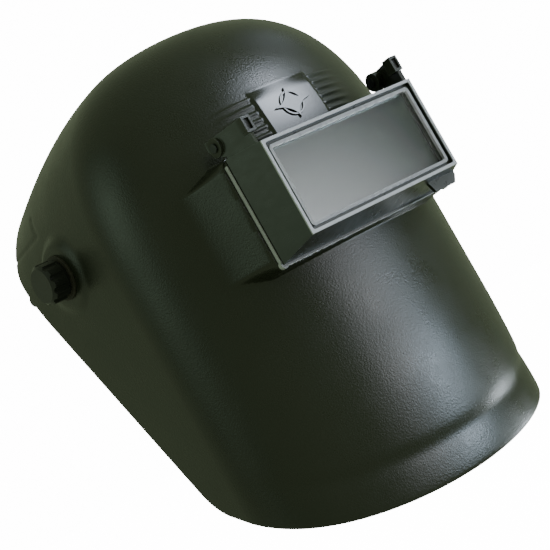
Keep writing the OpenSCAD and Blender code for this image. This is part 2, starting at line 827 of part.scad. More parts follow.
module crown_pegs() {
    top = strap_rise + 1.7 + strap_thickness;
    color("#202326") at_crown_strap() crown_peg_places() {
        translate([0, 0, strap_rise - 1.6]) cylinder(r = 2, h = top - strap_rise + 1.7, $fn = 32);
        translate([0, 0, strap_rise - 2.7]) cylinder(r = 3.4, h = 1.2, $fn = 32);
        translate([0, 0, top + 0.05]) cylinder(r = 2.6, h = 1, $fn = 32);
    }
}

module rear_strap() {
    inner_x = strap_inner_x + strap_thickness + 0.2;
    color("#b9bdbf") at_rear_strap() difference() {
        union() {
            hoop(inner_x, strap_rise, rear_straight, 180);
            for (side = [-1, 1]) on_side(side) strap_tab(inner_x, rear_straight);
        }
        for (side = [-1, 1]) on_side(side)
            translate([0, strap_width/2 - 2, 0]) rod(2.1, inner_x - cut_over, inner_x + 3);
    }
}

module strap_pegs() {
    head_start = strap_inner_x + strap_thickness + 0.05;
    color("#202326") for (side = [-1, 1]) on_side(side) {
        strap_foot_places() rod(peg_radius, band_radius + 0.1, head_start + 0.1);
        at_crown_strap() translate([0, strap_width/2 - 2, 0]) rod(3.2, head_start, head_start + 1.2);
        at_rear_strap() translate([0, strap_width/2 - 2, 0]) {
            rod(peg_radius, head_start, head_start + strap_thickness + 0.3);
            rod(3.2, head_start + strap_thickness + 0.2, head_start + strap_thickness + 1.4);
        }
    }
}

// ---------- ratchet at the back ----------

module at_ratchet() {
    translate([0, band_side, -tail_drop]) children();
}
slot_half = gear_radius + 1.6;

// A rack tooth on the edge of a tail's slot, pointing down when up is 1
module rack_tooth(radius) {
    half_pitch_width = (rack_pitch/2 - backlash)/2;
    slope = tan(gear_pressure);
    tip_drop = 1.1;
    root_rise = 1.9;
    skin = 0.15;
    translate([0, radius + tail_thickness - skin, gear_radius]) rotate([90, 0, 0])
        linear_extrude(tail_thickness - 2*skin)
            polygon([[-half_pitch_width - root_rise*slope, root_rise],
                [-half_pitch_width + tip_drop*slope, -tip_drop],
                [half_pitch_width - tip_drop*slope, -tip_drop],
                [half_pitch_width + root_rise*slope, root_rise]]);
}

// A toothed tail as it lies on the wearer's left, with its teeth on the upper edge (0) or the lower (1)
module band_tail(radius, tooth_edge) {
    tail_start = 50;
    tail_end = 106;
    slot_start = 84;
    slot_end = 102;
    color("#2a2e31") at_ratchet() {
        difference() {
            arc_wall(radius, radius + tail_thickness, -tail_height/2, tail_height/2, tail_start, tail_end);
            arc_wall(radius - 1, radius + tail_thickness + 1, -slot_half, slot_half, slot_start, slot_end);
        }
        for (k = [-4:1]) rotate([0, 0, -(k + 0.5)*rack_pitch/(radius + tail_thickness/2)*180/PI])
            mirror([0, 0, tooth_edge]) rack_tooth(radius);
    }
}
module band_tail_left() in_band() band_tail(left_tail_radius, 0);
module band_tail_right() in_band() mirror([1, 0, 0]) band_tail(right_tail_radius, 1);

ratchet_half_height = 16;
ratchet_half_angle = 19;
channel_inner = left_tail_radius - 0.2;
channel_outer = right_tail_radius + tail_thickness + 0.2;
cover_outer = channel_outer + 2.4;
boss_end = cover_outer + 0.6;

module ratchet_housing() {
    channel_half = tail_height/2 + 0.3;
    back = channel_inner - 2.2;
    color("#24282b") in_band() at_ratchet() difference() {
        rotate([0, 0, 90 - ratchet_half_angle]) rotate_extrude(angle = 2*ratchet_half_angle)
            polygon([[back, -ratchet_half_height], [channel_outer, -ratchet_half_height],
                [channel_outer, -channel_half], [channel_inner, -channel_half],
                [channel_inner, channel_half], [channel_outer, channel_half],
                [channel_outer, ratchet_half_height], [back, ratchet_half_height]]);
        rotate([-90, 0, 0]) cylinder(r = 2 + running_gap, h = channel_outer);
    }
}

module ratchet_cover() {
    boss_radius = 8;
    color("#2b3034") in_band() at_ratchet() difference() {
        union() {
            arc_wall(channel_outer + 0.05, cover_outer, -ratchet_half_height, ratchet_half_height,
                90 - ratchet_half_angle, 90 + ratchet_half_angle);
            translate([0, channel_outer + 0.5, 0]) rotate([-90, 0, 0])
                cylinder(r = boss_radius, h = boss_end - channel_outer - 0.5);
        }
        rotate([-90, 0, 0]) cylinder(r = shaft_radius + running_gap, h = boss_end + cut_over);
    }
}

spring_end = boss_end + 0.6;
knob_end = spring_end + 12.5;
shaft_end = spring_end + 8;

// Fluted knob with a hollow back and a recess for the screw
module ratchet_knob() {
    grip_radius = 17;
    flutes = 12;
    color("#17191b") in_band() at_ratchet() rotate([-90, 0, 0]) difference() {
        union() {
            translate([0, 0, spring_end + 0.05]) cylinder(r = grip_radius, h = knob_end - spring_end - 2);
            translate([0, 0, knob_end - 2]) cylinder(r1 = grip_radius, r2 = grip_radius - 2, h = 2);
        }
        for (i = [0:flutes - 1]) rotate([0, 0, i*360/flutes])
            translate([grip_radius + 2, 0, spring_end - cut_over]) cylinder(r = 3.2, h = 20);
        translate([0, 0, spring_end - cut_over])
            cylinder(r = shaft_radius + 0.05, h = shaft_end - spring_end + cut_over + 0.1);
        translate([0, 0, shaft_end]) cylinder(r = 1.6, h = 6);
        translate([0, 0, shaft_end + 1.5]) cylinder(r = 4.4, h = 6);
    }
}

// Involute pinion in one piece with its shaft
module ratchet_pinion() {
    base_radius = gear_radius*cos(gear_pressure);
    tip_radius = gear_radius + 1;
    root_radius = gear_radius - 1.5;
    function roll(r) = let (a = acos(base_radius/r)) tan(a)*180/PI - a;
    half_tooth = (rack_pitch/2 - backlash)/2/gear_radius*180/PI + roll(gear_radius);
    flank = [for (i = [0:3]) let (r = base_radius + (tip_radius - base_radius)*i/3)
        [r, half_tooth - roll(r)]];
    outline = [for (k = [0:gear_teeth - 1]) let (middle = 90 + k*360/gear_teeth)
        each concat([[root_radius, middle - half_tooth]],
            [for (p = flank) [p[0], middle - p[1]]],
            [for (i = [3:-1:0]) [flank[i][0], middle + flank[i][1]]],
            [[root_radius, middle + half_tooth]])];
    gear_end = right_tail_radius + tail_thickness - seat_gap;
    color("#c8ccd0") in_band() at_ratchet() {
        translate([0, gear_end, 0]) rotate([90, 0, 0])
            linear_extrude(gear_end - left_tail_radius + 0.1)
                polygon([for (p = outline) p[0]*[cos(p[1]), sin(p[1])]]);
        rotate([-90, 0, 0]) {
            translate([0, 0, channel_inner - 1.8]) cylinder(r = 2, h = 2.2);
            difference() {
                translate([0, 0, gear_end - 0.2]) cylinder(r = shaft_radius, h = shaft_end - gear_end + 0.2);
                translate([0, 0, spring_end]) cylinder(r = 1.52, h = shaft_end);
            }
        }
    }
}

module ratchet_screw() {
    color("#9a9ea2") in_band() at_ratchet() rotate([-90, 0, 0]) difference() {
        union() {
            translate([0, 0, spring_end + 1]) cylinder(r = 1.5, h = shaft_end - spring_end + 1, $fn = 24);
            translate([0, 0, shaft_end + 1.55]) cylinder(r = 4, h = 1.8, $fn = 32);
        }
        for (turn = [0, 90]) rotate([0, 0, turn])
            translate([0, 0, shaft_end + 3.35]) cube([5, 0.9, 1.6], center = true);
    }
}

// Star-shaped detent spring between cover and knob
module ratchet_spring() {
    star_radius = 7.5;
    notches = 12;
    color("#a9adb1") in_band() at_ratchet() rotate([-90, 0, 0]) difference() {
        translate([0, 0, boss_end + 0.05]) cylinder(r = star_radius, h = 0.5);
        translate([0, 0, boss_end - cut_over]) cylinder(r = 2.7, h = 3);
        for (i = [0:notches - 1]) rotate([0, 0, i*360/notches])
            translate([star_radius + 0.4, 0, boss_end - cut_over]) cylinder(r = 1.2, h = 3, $fn = 24);
    }
}

module rear_pad() {
    pad_thickness = 5;
    pad_half_angle = 17;
    back = channel_inner - 2.3;
    color("#3c4246") in_band() at_ratchet()
        arc_wall(back - pad_thickness, back, 3 - ratchet_half_height, ratchet_half_height - 3,
            90 - pad_half_angle, 90 + pad_half_angle);
}

shell();
lens_housing();
housing_screws();
inner_lens();
inner_lens_clip();
hinge_pins();
hinge_washers();
friction_washers();
lift_front();
window_bezel();
cover_lens();
lens_gasket();
filter_lens();
filter_clip();
ear_buffers();
pivot_knob_left();
pivot_knob_right();
knob_nut_left();
knob_nut_right();
pivot_bolts();
stop_plate_left();
stop_plate_right();
side_arm_left();
side_arm_right();
headband();
band_pegs();
sweatband();
crown_strap_left();
crown_strap_right();
crown_pegs();
rear_strap();
strap_pegs();
band_tail_left();
band_tail_right();
ratchet_housing();
ratchet_cover();
ratchet_knob();
ratchet_pinion();
ratchet_screw();
ratchet_spring();
rear_pad();
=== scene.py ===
"""A welding helmet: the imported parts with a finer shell, soft pads and full finishes, in metres."""
import json
import math

import bmesh
import bpy
import numpy as np
from mathutils import Matrix, Vector


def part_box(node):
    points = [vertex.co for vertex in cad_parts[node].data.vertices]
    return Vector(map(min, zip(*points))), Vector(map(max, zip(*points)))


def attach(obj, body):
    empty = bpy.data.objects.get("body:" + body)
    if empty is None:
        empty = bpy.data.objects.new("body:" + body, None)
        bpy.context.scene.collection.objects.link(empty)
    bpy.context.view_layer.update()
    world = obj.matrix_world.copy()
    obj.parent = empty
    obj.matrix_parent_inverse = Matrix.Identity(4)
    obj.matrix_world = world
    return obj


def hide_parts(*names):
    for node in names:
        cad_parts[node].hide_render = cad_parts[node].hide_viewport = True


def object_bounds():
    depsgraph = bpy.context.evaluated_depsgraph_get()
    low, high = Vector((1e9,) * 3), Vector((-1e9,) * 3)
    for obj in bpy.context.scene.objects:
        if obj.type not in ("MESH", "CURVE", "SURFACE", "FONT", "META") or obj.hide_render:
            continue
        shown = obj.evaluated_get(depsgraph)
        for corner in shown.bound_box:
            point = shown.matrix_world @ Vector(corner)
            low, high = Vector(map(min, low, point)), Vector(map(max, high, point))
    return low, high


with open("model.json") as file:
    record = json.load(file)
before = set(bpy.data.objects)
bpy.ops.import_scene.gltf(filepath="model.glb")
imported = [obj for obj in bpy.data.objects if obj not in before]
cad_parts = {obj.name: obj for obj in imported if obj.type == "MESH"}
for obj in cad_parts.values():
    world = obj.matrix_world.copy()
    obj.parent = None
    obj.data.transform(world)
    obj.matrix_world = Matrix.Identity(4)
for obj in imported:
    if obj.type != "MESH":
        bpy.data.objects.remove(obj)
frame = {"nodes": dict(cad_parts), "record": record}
cad_lo, cad_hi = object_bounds()
MM = 0.001
record = frame["record"]
body_of_node = {node: body for body, nodes in record["behaviour"]["bodies"].items() for node in nodes}
slot_of_node = {part["node"]: part["material_slot"] for part in record["subparts"]}


# ---------- node helpers for materials ----------

class Finish:
    """One procedural material under construction."""

    def __init__(self, name):
        self.material = bpy.data.materials.new(name)
        self.material.use_nodes = True
        self.tree = self.material.node_tree
        self.shader = self.tree.nodes["Principled BSDF"]
        self.place = self.add("ShaderNodeTexCoord").outputs["Object"]

    def add(self, kind, **values):
        node = self.tree.nodes.new(kind)
        for key, value in values.items():
            setattr(node, key, value)
        return node

    def link(self, source, target):
        self.tree.links.new(source, target)

    def set(self, **values):
        for key, value in values.items():
            self.shader.inputs[key.replace("_", " ")].default_value = value

    def mapped(self, scale):
        mapping = self.add("ShaderNodeMapping")
        mapping.inputs["Scale"].default_value = scale
        self.link(self.place, mapping.inputs["Vector"])
        return mapping.outputs["Vector"]

    def noise(self, scale, detail=3.0, stretch=(1, 1, 1)):
        node = self.add("ShaderNodeTexNoise")
        node.inputs["Scale"].default_value = scale
        node.inputs["Detail"].default_value = detail
        self.link(self.mapped(stretch), node.inputs["Vector"])
        return node.outputs["Fac"]

    def cells(self, scale):
        """Distance to the nearest of many scattered points, without creases between them."""
        node = self.add("ShaderNodeTexVoronoi", feature="SMOOTH_F1")
        node.inputs["Scale"].default_value = scale
        self.link(self.place, node.inputs["Vector"])
        return node.outputs["Distance"]

    def spread(self, value, from_low, from_high, low, high):
        """Maps one range of values to another and stops at its ends."""
        node = self.add("ShaderNodeMapRange")
        node.inputs["From Min"].default_value = from_low
        node.inputs["From Max"].default_value = from_high
        node.inputs["To Min"].default_value = low
        node.inputs["To Max"].default_value = high
        self.link(value, node.inputs["Value"])
        return node.outputs["Result"]

    def sum(self, a, b, operation="ADD"):
        """Adds two values, or joins them with another operation; each is a number or an output."""
        node = self.add("ShaderNodeMath", operation=operation)
        for value, socket in ((a, node.inputs[0]), (b, node.inputs[1])):
            if isinstance(value, (int, float)):
                socket.default_value = value
            else:
                self.link(value, socket)
        return node.outputs[0]

    def mix(self, share, a, b):
        node = self.add("ShaderNodeMix", data_type="RGBA")
        self.link(share, node.inputs["Factor"])
        for value, socket in ((a, node.inputs[6]), (b, node.inputs[7])):
            if isinstance(value, tuple):
                socket.default_value = (*value, 1)
            else:
                self.link(value, socket)
        return node.outputs[2]

    def region(self, low, high, soft):
        """1 inside a box in frame coordinates, fading to 0 over a soft border."""
        parts = self.add("ShaderNodeSeparateXYZ")
        self.link(self.place, parts.inputs[0])
        mask = None
        for axis in range(3):
            for start, end in ((low[axis] - soft, low[axis]), (high[axis] + soft, high[axis])):
                side = self.spread(parts.outputs[axis], start, end, 0.0, 1.0)
                mask = side if mask is None else self.sum(mask, side, "MULTIPLY")
        return mask

    def colour(self, output):
        self.link(output, self.shader.inputs["Base Color"])

    def roughness(self, output):
        self.link(output, self.shader.inputs["Roughness"])

    def edge_mask(self, radius):
        """1 on edges sharper than the radius, 0 on flat faces."""
        bevel = self.add("ShaderNodeBevel", samples=4)
        bevel.inputs["Radius"].default_value = radius
        geometry = self.add("ShaderNodeNewGeometry")
        dot = self.add("ShaderNodeVectorMath", operation="DOT_PRODUCT")
        self.link(bevel.outputs["Normal"], dot.inputs[0])
        self.link(geometry.outputs["Normal"], dot.inputs[1])
        return self.spread(dot.outputs["Value"], 0.99, 0.80, 0.0, 1.0)

    def bump(self, height, distance, strength=1.0, edge_radius=None):
        node = self.add("ShaderNodeBump")
        node.inputs["Distance"].default_value = distance
        node.inputs["Strength"].default_value = strength
        self.link(height, node.inputs["Height"])
        if edge_radius:
            bevel = self.add("ShaderNodeBevel", samples=4)
            bevel.inputs["Radius"].default_value = edge_radius
            self.link(bevel.outputs["Normal"], node.inputs["Normal"])
        self.link(node.outputs["Normal"], self.shader.inputs["Normal"])


# ---------- finishes ----------

def grained_plastic(name, dark, light, grain_size, grain_depth, rough, edge_light=None, polished=None):
    """Moulded thermoplastic with leather-like grain, much fainter inside a polished region."""
    f = Finish(name)
    cells = f.cells(1 / grain_size)
    fine = f.noise(2.2 / grain_size, 2.0)
    warp = f.noise(0.6 / grain_size, 2.0)
    height = f.sum(f.sum(cells, f.sum(fine, 0.5, "MULTIPLY")), f.sum(warp, 0.6, "MULTIPLY"))
    clouds = f.spread(f.noise(14, 4.0), 0.3, 0.7, 0.0, 1.0)
    base = f.mix(clouds, dark, light)
    if edge_light:
        base = f.mix(f.edge_mask(0.5 * MM), base, edge_light)
    f.colour(base)
    worn = f.spread(f.noise(45, 5.0), 0.25, 0.75, -0.05, 0.06)
    gloss = f.sum(f.sum(worn, f.spread(cells, 0.0, 0.9, -0.05, 0.05)), rough)
    if polished:
        smooth = f.region(*polished, 1.5 * MM)
        gloss = f.sum(gloss, f.sum(smooth, 0.16, "MULTIPLY"), "SUBTRACT")
        height = f.sum(height, f.spread(smooth, 0.0, 1.0, 1.0, 0.12), "MULTIPLY")
    f.roughness(gloss)
    f.bump(height, grain_depth)
    f.set(Specular_IOR_Level=0.5)
    return f.material


def smooth_plastic(name, dark, light, rough, edge_light, highlight_regions=(), highlight_colour=None):
    """Moulded plastic with fine haze, faint rubbing marks and lighter edges, with a painted highlight in
    some regions.
    """
    f = Finish(name)
    haze = f.noise(1400, 2.0)
    marks = f.noise(260, 4.0, stretch=(1, 0.4, 1))
    clouds = f.spread(f.noise(30, 4.0), 0.3, 0.7, 0.0, 1.0)
    base = f.mix(clouds, dark, light)
    base = f.mix(f.edge_mask(0.45 * MM), base, edge_light)
    # painted highlight: each given region is mixed toward a pale colour that stands in for light caught on
    # an edge
    for low, high in highlight_regions:
        base = f.mix(f.region(low, high, 0.3 * MM), base, highlight_colour)
    f.colour(base)
    f.roughness(f.sum(f.spread(marks, 0.35, 0.7, -0.03, 0.05), rough))
    f.bump(f.sum(haze, f.sum(marks, 0.2, "MULTIPLY")), 0.012 * MM, 0.6, 0.25 * MM)
    return f.material


def metal(name, colour, rough, brushed=(1, 14, 14)):
    """Metal with slight tarnish and fine marks, which run one way unless the brushing is even."""
    f = Finish(name)
    lines = f.noise(500, 3.0, stretch=brushed)
    tarnish = f.spread(f.noise(90, 4.0), 0.35, 0.7, 0.0, 1.0)
    darker = tuple(c * 0.62 for c in colour)
    f.colour(f.mix(tarnish, colour, darker))
    f.roughness(f.sum(f.spread(lines, 0.3, 0.7, -0.08, 0.10), rough))
    f.bump(lines, 0.01 * MM, 0.7, 0.12 * MM)
    f.set(Metallic=1.0)
    return f.material


def clear_glass(name, tint, rough):
    """Clear moulded sheet with very faint wiping marks."""
    f = Finish(name)
    wiped = f.noise(120, 4.0, stretch=(0.15, 1, 1))
    f.roughness(f.spread(wiped, 0.45, 0.75, rough, rough + 0.05))
    f.colour(f.mix(f.spread(wiped, 0.4, 0.8, 0.0, 0.35), tint, tuple(0.9 * c for c in tint)))
    f.set(Transmission_Weight=1.0, IOR=1.49)
    return f.material


def filter_glass(name):
    """Very dark welding filter, drawn as opaque: polished, with a faint green body colour."""
    f = Finish(name)
    body = f.spread(f.noise(18, 3.0), 0.3, 0.7, 0.0, 1.0)
    f.colour(f.mix(body, (0.010, 0.013, 0.011), (0.016, 0.020, 0.017)))
    dust = f.noise(300, 5.0)
    f.roughness(f.spread(dust, 0.45, 0.8, 0.05, 0.16))
    f.set(IOR=1.55, Coat_Weight=0.6, Coat_Roughness=0.04)
    return f.material


def rubber(name):
    """Dull black rubber with a dusty bloom."""
    f = Finish(name)
    skin = f.noise(900, 3.0)
    bloom = f.spread(f.noise(60, 3.0), 0.3, 0.7, 0.0, 1.0)
    f.colour(f.mix(bloom, (0.012, 0.012, 0.012), (0.028, 0.027, 0.026)))
    f.roughness(f.spread(skin, 0.3, 0.7, 0.62, 0.82))
    f.bump(skin, 0.03 * MM)
    return f.material


def fibre(name):
    """Pressed dark fibre with short strands."""
    f = Finish(name)
    strands = f.noise(700, 5.0, stretch=(1, 0.3, 1))
    strand_share = f.spread(strands, 0.3, 0.7, 0.0, 1.0)
    f.colour(f.mix(strand_share, (0.018, 0.016, 0.013), (0.045, 0.038, 0.030)))
    f.roughness(f.spread(strands, 0.3, 0.7, 0.6, 0.8))
    f.bump(strands, 0.05 * MM)
    return f.material


def brushed_cloth(name):
    """Short-napped cloth over foam: a fine knit, fuzz and slightly paler worn places."""
    f = Finish(name)
    knit_a = f.add("ShaderNodeTexWave", wave_type="BANDS", bands_direction="X")
    knit_b = f.add("ShaderNodeTexWave", wave_type="BANDS", bands_direction="Z")
    for knit in (knit_a, knit_b):
        knit.inputs["Scale"].default_value = 260
        knit.inputs["Distortion"].default_value = 1.2
        f.link(f.place, knit.inputs["Vector"])
    knit = f.sum(knit_a.outputs["Fac"], knit_b.outputs["Fac"], "MULTIPLY")
    fuzz = f.noise(2200, 3.0)
    worn = f.spread(f.noise(28, 4.0), 0.35, 0.7, 0.0, 1.0)
    threads = f.mix(f.spread(knit, 0.0, 1.0, 0.0, 1.0), (0.018, 0.021, 0.026), (0.055, 0.062, 0.072))
    f.colour(f.mix(f.sum(worn, 0.35, "MULTIPLY"), threads, (0.075, 0.082, 0.09)))
    f.roughness(f.spread(fuzz, 0.3, 0.7, 0.82, 0.95))
    f.bump(f.sum(knit, f.sum(fuzz, 0.6, "MULTIPLY")), 0.18 * MM)
    f.set(Sheen_Weight=0.35, Sheen_Roughness=0.5)
    return f.material


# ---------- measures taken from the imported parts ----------

shell_lo, shell_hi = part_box("shell")
front_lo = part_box("lift_front")[0]
housing_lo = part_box("lens_housing")[0]
glass_lo, glass_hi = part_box("inner_lens")
screws_lo, screws_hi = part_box("housing_screws")
# The polished panel across the forehead
PANEL_HALF_X = 22 * MM
PANEL_LOW_Z = 0 * MM
PANEL_HIGH_Z = 33 * MM
PANEL_RISE = 0.6 * MM
panel_region = ((-PANEL_HALF_X, shell_lo.y, PANEL_LOW_Z), (PANEL_HALF_X, -0.10, PANEL_HIGH_Z))
# The thin lip of the housing's flange, seen round the foot of the box
LIP_BACK_Y = shell_lo.y
LIP_FRONT_Y = LIP_BACK_Y - 2.6 * MM
LIP_HALF_X = 67.25 * MM
LIP_LOW_Z = housing_lo.z + 0.7 * MM
LIP_HIGH_Z = -2 * MM
# Painted highlights: a pale colour on the front rim of the lift front and on the edges of the housing's
# flange, standing in for the light these edges catch
painted_highlight_regions = [
    ((-0.1, front_lo.y - MM, shell_lo.z), (0.1, front_lo.y + 0.5 * MM, shell_hi.z)),
    ((-LIP_HALF_X - MM, LIP_FRONT_Y, LIP_LOW_Z - MM), (-LIP_HALF_X + 0.5 * MM, LIP_BACK_Y, LIP_HIGH_Z)),
    ((LIP_HALF_X - 0.5 * MM, LIP_FRONT_Y, LIP_LOW_Z - MM), (LIP_HALF_X + MM, LIP_BACK_Y, LIP_HIGH_Z)),
    ((-LIP_HALF_X, LIP_FRONT_Y, LIP_LOW_Z - MM), (LIP_HALF_X, LIP_BACK_Y, LIP_LOW_Z + 0.2 * MM)),
]


# ---------- the finish of every material slot ----------

materials = {
    "shell_plastic": grained_plastic("shell_plastic", (0.0125, 0.0150, 0.0090), (0.0170, 0.0195, 0.0125),
                                     0.9 * MM, 0.08 * MM, 0.31, polished=panel_region),
    # housing_plastic: the pale colour (0.42, 0.42, 0.46) is a painted highlight on the regions listed above
    "housing_plastic": smooth_plastic("housing_plastic", (0.017, 0.020, 0.014), (0.022, 0.025, 0.018), 0.30,
                                      (0.10, 0.115, 0.11), painted_highlight_regions, (0.42, 0.42, 0.46)),
    # bezel_plastic: the light grey is partly the bezel's own colour and partly a painted highlight for the
    # light its rims catch
    "bezel_plastic": smooth_plastic("bezel_plastic", (0.24, 0.24, 0.26), (0.30, 0.30, 0.32),
                                    0.28, (0.55, 0.56, 0.58)),
    "black_screw": metal("black_screw", (0.06, 0.06, 0.062), 0.38, (1, 1, 1)),
    "clear_lens": clear_glass("clear_lens", (0.95, 0.98, 0.97), 0.02),
    "filter_glass": filter_glass("filter_glass"),
    "spring_steel": metal("spring_steel", (0.56, 0.57, 0.58), 0.26, (1, 10, 10)),
    "pin_steel": metal("pin_steel", (0.09, 0.095, 0.10), 0.36, (1, 1, 1)),
    "bolt_steel": metal("bolt_steel", (0.60, 0.60, 0.61), 0.30, (12, 1, 1)),
    "fibre": fibre("fibre"),
    "rubber": rubber("rubber"),
    "knob_plastic": grained_plastic("knob_plastic", (0.008, 0.009, 0.009), (0.013, 0.014, 0.014),
                                    0.5 * MM, 0.03 * MM, 0.38, (0.035, 0.038, 0.038)),
    "brass": metal("brass", (0.72, 0.52, 0.22), 0.28, (12, 1, 1)),
    "plate_plastic": grained_plastic("plate_plastic", (0.016, 0.018, 0.020), (0.024, 0.026, 0.028),
                                     0.6 * MM, 0.03 * MM, 0.42, (0.06, 0.065, 0.07)),
    "headgear_plastic": grained_plastic("headgear_plastic", (0.017, 0.020, 0.023), (0.026, 0.030, 0.033),
                                        0.55 * MM, 0.03 * MM, 0.40, (0.06, 0.066, 0.07)),
    "peg_plastic": smooth_plastic("peg_plastic", (0.012, 0.012, 0.014), (0.02, 0.02, 0.022), 0.25,
                                  (0.07, 0.07, 0.075)),
    "strap_plastic": grained_plastic("strap_plastic", (0.33, 0.35, 0.36), (0.42, 0.44, 0.45),
                                     0.7 * MM, 0.03 * MM, 0.42, (0.55, 0.57, 0.58)),
    "sweatband_cloth": brushed_cloth("sweatband_cloth"),
}


# ---------- mesh helpers ----------

# Edges sharper than this stay crisp on hard pieces
CREASE = math.radians(38)


def new_piece(name, mesh, slot_name, body, *nodes):
    """A visible piece that rides on a body, takes its finish from a slot and stands for some CAD nodes."""
    piece = bpy.data.objects.new(name, mesh)
    bpy.context.scene.collection.objects.link(piece)
    piece.data.materials.clear()
    piece.data.materials.append(materials[slot_name])
    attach(piece, body)
    if nodes:
        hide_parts(*nodes)
    return piece


def sharpen(bm, angle):
    """Smooth faces, with edges over the angle kept sharp."""
    for face in bm.faces:
        face.smooth = True
    for edge in bm.edges:
        edge.smooth = len(edge.link_faces) == 2 and edge.calc_face_angle(0) < angle


def mesh_from(bm, name):
    """Turns the edited mesh into a named one and frees it."""
    mesh = bpy.data.meshes.new(name)
    bm.to_mesh(mesh)
    bm.free()
    return mesh


def bake_modifiers(piece, sharp_angle):
    """Replaces a piece's mesh by the result of its modifiers."""
    bpy.context.view_layer.update()
    made = bpy.data.meshes.new_from_object(piece.evaluated_get(bpy.context.evaluated_depsgraph_get()))
    piece.modifiers.clear()
    piece.data = made
    bm = bmesh.new()
    bm.from_mesh(made)
    sharpen(bm, sharp_angle)
    bm.to_mesh(made)
    bm.free()


def refined(node, width):
    """The CAD node's shape again with its hard edges rounded off by a small width."""
    bm = bmesh.new()
    bm.from_mesh(frame["nodes"][node].data)
    bmesh.ops.remove_doubles(bm, verts=bm.verts, dist=1e-6)
    bmesh.ops.dissolve_limit(bm, angle_limit=math.radians(0.6), verts=bm.verts, edges=bm.edges)
    hard = [e for e in bm.edges if len(e.link_faces) == 2 and e.calc_face_angle(0) > math.radians(32)]
    bmesh.ops.bevel(bm, geom=hard, offset=width, segments=2, profile=0.65, affect="EDGES",
                    clamp_overlap=True, harden_normals=False)
    bmesh.ops.recalc_face_normals(bm, faces=bm.faces)
    sharpen(bm, CREASE)
    name = node + "_fine"
    piece = new_piece(name, mesh_from(bm, name), slot_of_node[node], body_of_node[node], node)
    flat = piece.modifiers.new("flat", "WEIGHTED_NORMAL")
    flat.keep_sharp = True
    flat.weight = 90


# ---------- shell ----------

HALF_WIDTH = 111 * MM
WALL = 2.5 * MM
CROWN_Z = shell_hi.z
CHIN_Z = shell_lo.z
REAR_Y = shell_hi.y
FRONT_Y = -128 * MM
# The dome springs from the straight front at the brow and from the straight sides at SIDE_Y
BROW_Z = -28 * MM
SIDE_Y = -48 * MM
DOME_POWER = 2.75
# How far the crown falls toward the rear, and the front tucks in from the chin's start to its edge
CROWN_FALL = 21.6 * MM
CHIN_TUCK = 12 * MM
CHIN_START_Z = -122 * MM
# Corners of the rim in side view, as (y, z)
REAR_CORNER = np.array([REAR_Y, 19 * MM])
KNEE_CORNER = np.array([-24, -162]) * MM
# Share of each row that runs along the side wall
SIDE_SHARE = 0.4
# Shares of the rows at which the barrel, the dome and the straight front end
BARREL_END, DOME_END, FRONT_END = 5 / 32, 18 / 32, 26 / 32
# Features of the front stay ahead of the first y, those of the window ahead of the second
FRONT_LIMIT_Y = -60 * MM
WINDOW_LIMIT_Y = -90 * MM


def smoothstep(value, low, high):
    """Rises softly from 0 to 1 between two values."""
    share = np.clip((value - low) / (high - low), 0, 1)
    return share * share * (3 - 2 * share)


def dome_rise(y):
    """Height of the crown's middle line above the brow; it falls a little toward the rear."""
    return CROWN_Z - BROW_Z - CROWN_FALL * (np.maximum(0, y - SIDE_Y) / (REAR_Y - SIDE_Y)) ** 2


def front_line(z):
    """The front's y at a height; it tucks in below the chin's start."""
    return FRONT_Y + CHIN_TUCK * (np.maximum(0, CHIN_START_Z - z) / (CHIN_START_Z - CHIN_Z)) ** 2


def half_width_at(y, z):
    """Half the shell's width at a point of its side view."""
    up = np.clip((z - BROW_Z) / dome_rise(y), 0, 1)
    ahead = np.maximum(0, SIDE_Y - y) / (SIDE_Y - front_line(z))
    return HALF_WIDTH * np.sqrt(np.maximum(0, (1 - up ** DOME_POWER) ** (2 / DOME_POWER) - ahead ** 2))


def centre_line(t):
    """Side-view points of the middle line, from the rear of the crown (0) to the chin (1)."""
    barrel_y = REAR_Y - (REAR_Y - SIDE_Y) * np.minimum(t / BARREL_END, 1)
    angle = np.radians(90 * (1 - np.clip((t - BARREL_END) / (DOME_END - BARREL_END), 0, 1)))
    reach = (np.sin(angle) ** DOME_POWER + np.cos(angle) ** DOME_POWER) ** (-1 / DOME_POWER)
    dome = np.stack([SIDE_Y + (FRONT_Y - SIDE_Y) * reach * np.cos(angle),
                     BROW_Z + (CROWN_Z - BROW_Z) * reach * np.sin(angle)], -1)
    front_z = BROW_Z + (CHIN_START_Z - BROW_Z) * np.clip((t - DOME_END) / (FRONT_END - DOME_END), 0, 1)
    chin_z = CHIN_START_Z + (CHIN_Z - CHIN_START_Z) * np.clip((t - FRONT_END) / (1 - FRONT_END), 0, 1)
    barrel = np.stack([barrel_y, BROW_Z + dome_rise(barrel_y)], -1)
    lower_z = np.where(t < FRONT_END, front_z, chin_z)
    lower = np.stack([front_line(lower_z), lower_z], -1)
    return np.where((t < BARREL_END)[:, None], barrel, np.where((t < DOME_END)[:, None], dome, lower))


def corner_arc(corner, before, after, radius, steps=24):
    """A rounded corner between the directions of two other points."""
    a = (before - corner) / np.linalg.norm(before - corner)
    b = (after - corner) / np.linalg.norm(after - corner)
    half = math.acos(a @ b) / 2
    middle = corner + (a + b) / np.linalg.norm(a + b) * radius / math.sin(half)
    start = corner + a * radius / math.tan(half) - middle
    end = corner + b * radius / math.tan(half) - middle
    start_angle = math.atan2(start[1], start[0])
    turn = (math.atan2(end[1], end[0]) - start_angle + math.pi) % (2 * math.pi) - math.pi
    angles = start_angle + turn * np.linspace(0, 1, steps + 1)
    return middle + radius * np.stack([np.cos(angles), np.sin(angles)], -1)


def along(path, shares):
    """Points at shares of a path's length."""
    lengths = np.concatenate([[0], np.cumsum(np.linalg.norm(np.diff(path, axis=0), axis=1))])
    return np.stack([np.interp(shares * lengths[-1], lengths, path[:, k]) for k in (0, 1)], -1)


